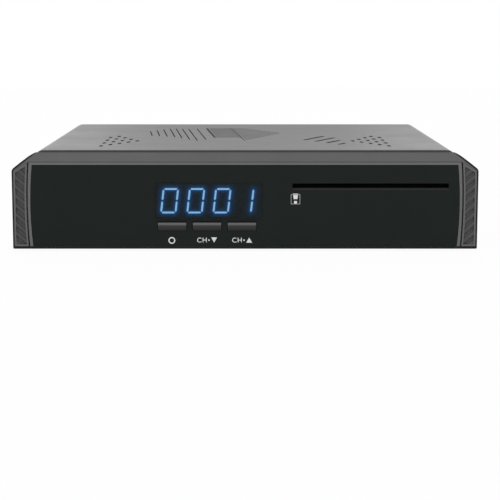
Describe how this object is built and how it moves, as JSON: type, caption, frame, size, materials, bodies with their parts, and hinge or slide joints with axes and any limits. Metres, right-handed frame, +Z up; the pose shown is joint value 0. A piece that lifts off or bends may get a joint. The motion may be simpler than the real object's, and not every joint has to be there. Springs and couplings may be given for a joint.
{
  "type": "satellite receiver",
  "caption": "Flat set-top satellite receiver with a wide dark front, digit display, push keys, card slot, vented cover and rear sockets.",
  "frame": {"origin": "middle of the overall footprint, on the plane that the feet stand on", "axes": "+X to the right seen from the front, +Y from the front to the back, +Z up"},
  "size_m": [0.18, 0.1278, 0.0392],
  "materials": {
    "cover_plastic": "fine matt texture",
    "case_plastic": "fine matt texture",
    "frame_plastic": "satin",
    "fascia_plastic": "satin black",
    "cheek_plastic": "satin, ribbed",
    "key_plastic": "satin",
    "smoked_filter": "smoked and clear",
    "module_plastic": "matt black",
    "lit_blue": "lit blue",
    "black_plastic": "moulded",
    "plunger_plastic": "moulded",
    "white_plastic": "moulded",
    "green_board": "lacquered board",
    "zinc_steel": "zinc plated",
    "tin_plate": "tinned sheet",
    "nickel": "nickel plated",
    "gold": "gold plated",
    "sink_metal": "extruded",
    "can_sleeve": "printed sleeve",
    "rear_paint": "satin black paint",
    "rubber": "moulded"
  },
  "bodies": {
    "case": {"top_cover": "cover_plastic", "bottom_tray": "case_plastic", "front_bezel": "frame_plastic", "fascia_panel": "fascia_plastic", "cheek_left": "cheek_plastic", "cheek_right": "cheek_plastic", "display_window": "smoked_filter", "display_module": "module_plastic", "dark_segments": "module_plastic", "lit_segments": "lit_blue", "switch_bodies": "black_plastic", "infrared_eye": "black_plastic", "board_header": "black_plastic", "card_header": "black_plastic", "card_reader_base": "black_plastic", "processor": "black_plastic", "memory_chips": "black_plastic", "regulator": "black_plastic", "av_core": "black_plastic", "video_core": "black_plastic", "data_core": "black_plastic", "audio_body": "black_plastic", "remote_jack": "black_plastic", "power_inlet": "black_plastic", "coils": "black_plastic", "aerial_cores": "white_plastic", "front_board": "green_board", "card_board": "green_board", "main_board": "green_board", "case_screws": "zinc_steel", "main_board_screws": "zinc_steel", "front_board_screws": "zinc_steel", "reader_screws": "zinc_steel", "rear_screws": "zinc_steel", "reader_spacers": "zinc_steel", "tuner_can": "tin_plate", "tuner_lid": "tin_plate", "av_shell": "tin_plate", "video_shell": "tin_plate", "data_shell": "tin_plate", "card_reader_lid": "tin_plate", "crystal": "tin_plate", "aerial_sockets": "nickel", "aerial_nuts": "nickel", "aerial_washers": "nickel", "audio_barrel": "nickel", "power_pin": "nickel", "card_contacts": "gold", "heat_sink": "sink_metal", "capacitors": "can_sleeve", "rear_panel": "rear_paint", "rubber_feet": "rubber"},
    "standby_key": {"standby_key": "key_plastic"},
    "channel_down_key": {"channel_down_key": "key_plastic"},
    "channel_up_key": {"channel_up_key": "key_plastic"},
    "standby_plunger": {"standby_plunger": "plunger_plastic"},
    "channel_down_plunger": {"channel_down_plunger": "plunger_plastic"},
    "channel_up_plunger": {"channel_up_plunger": "plunger_plastic"}
  },
  "joints": [
    {"name": "standby_press", "type": "slide", "parent": "case", "child": "standby_key", "axis": [0, 1, 0], "range_m": [0, 0.0005], "stiffness_N_per_m": 2000},
    {"name": "channel_down_press", "type": "slide", "parent": "case", "child": "channel_down_key", "axis": [0, 1, 0], "range_m": [0, 0.0005], "stiffness_N_per_m": 2000},
    {"name": "channel_up_press", "type": "slide", "parent": "case", "child": "channel_up_key", "axis": [0, 1, 0], "range_m": [0, 0.0005], "stiffness_N_per_m": 2000},
    {"name": "standby_switch", "type": "slide", "parent": "case", "child": "standby_plunger", "axis": [0, 1, 0], "range_m": [0, 0.0005]},
    {"name": "channel_down_switch", "type": "slide", "parent": "case", "child": "channel_down_plunger", "axis": [0, 1, 0], "range_m": [0, 0.0005]},
    {"name": "channel_up_switch", "type": "slide", "parent": "case", "child": "channel_up_plunger", "axis": [0, 1, 0], "range_m": [0, 0.0005]}
  ],
  "couplings": [
    {"joint": "standby_switch", "follows": "standby_press", "ratio": 1},
    {"joint": "channel_down_switch", "follows": "channel_down_press", "ratio": 1},
    {"joint": "channel_up_switch", "follows": "channel_up_press", "ratio": 1}
  ]
}
